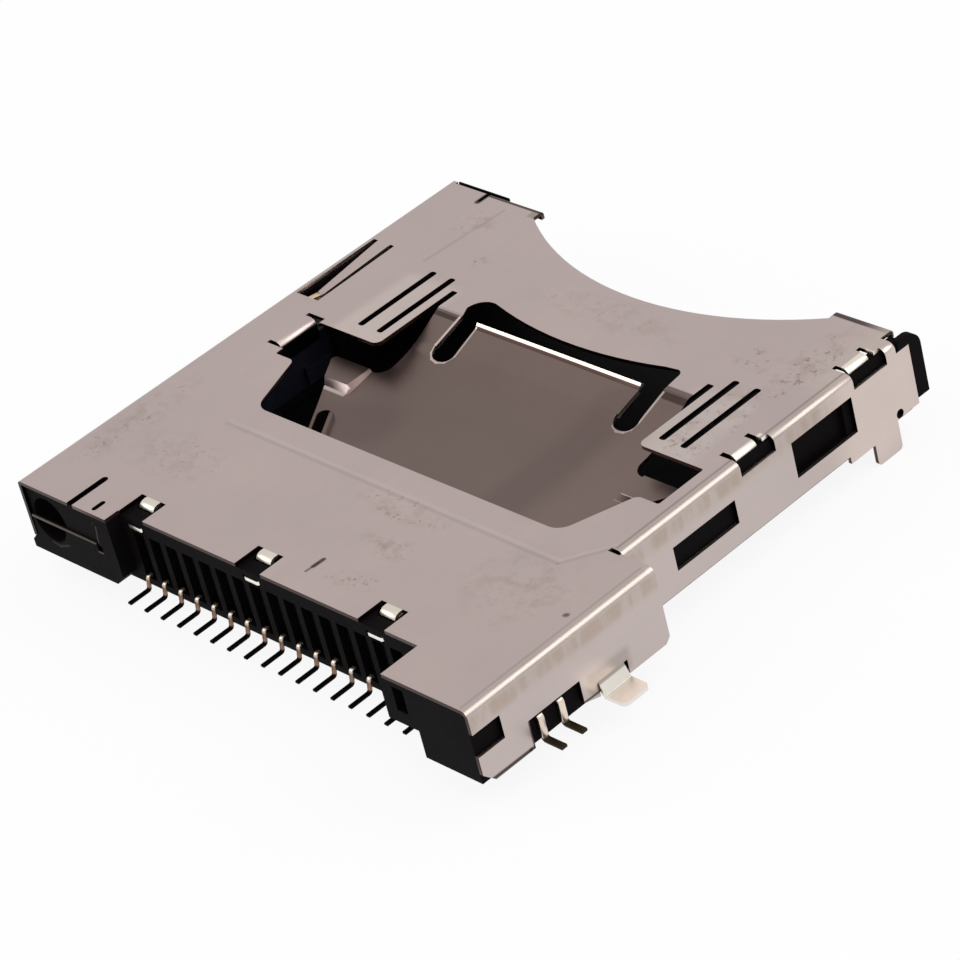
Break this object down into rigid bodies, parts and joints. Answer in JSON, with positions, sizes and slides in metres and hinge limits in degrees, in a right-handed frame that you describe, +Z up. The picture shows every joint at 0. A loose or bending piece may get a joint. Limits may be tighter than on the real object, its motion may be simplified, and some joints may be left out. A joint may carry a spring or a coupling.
{
  "type": "card socket",
  "caption": "Push-push memory card socket: moulded housing under a stamped shell with a sprung pressing plate, a row of contact tails, a detect switch and an eject slider.",
  "frame": {"origin": "on the circuit board's face, on the centreline of the card bay, under the middle of the bay's floor", "axes": "+Z up from the board, +Y towards the card mouth, +X towards the side with the detect switch"},
  "size_m": [0.045, 0.0398, 0.0069],
  "materials": {
    "housing_plastic": "matte moulded",
    "shell_sheet": "rolled and plated sheet",
    "slider_plastic": "matte moulded",
    "spring_wire": "drawn wire",
    "contact_metal": "gold-plated strip"
  },
  "bodies": {
    "socket": {"base_housing": "housing_plastic", "top_shell": "shell_sheet", "eject_spring": "spring_wire", "switch_fixed_contact": "contact_metal", "switch_moving_contact": "contact_metal", "contact_01": "contact_metal", "contact_02": "contact_metal", "contact_03": "contact_metal", "contact_04": "contact_metal", "contact_05": "contact_metal", "contact_06": "contact_metal", "contact_07": "contact_metal", "contact_08": "contact_metal", "contact_09": "contact_metal", "contact_10": "contact_metal", "contact_11": "contact_metal", "contact_12": "contact_metal", "contact_13": "contact_metal", "contact_14": "contact_metal", "contact_15": "contact_metal", "contact_16": "contact_metal", "contact_17": "contact_metal"},
    "slider": {"eject_slider": "slider_plastic"},
    "pin": {"cam_pin": "spring_wire"}
  },
  "joints": [
    {"name": "slider_slide", "type": "slide", "parent": "socket", "child": "slider", "axis": [0, -1, 0], "range_m": [0, 0.0045], "stiffness_N_per_m": 60, "springref_m": -0.004, "deforming": ["eject_spring"]},
    {"name": "cam_pin_swing", "type": "hinge", "parent": "socket", "child": "pin", "pos_m": [-0.0192, 0.0134, 0.0042], "axis": [0, 0, 1], "range_deg": [-3.6, 0]}
  ],
  "couplings": [
    {"joint": "cam_pin_swing", "follows": "slider_slide", "rad_per_m": -13.61}
  ]
}
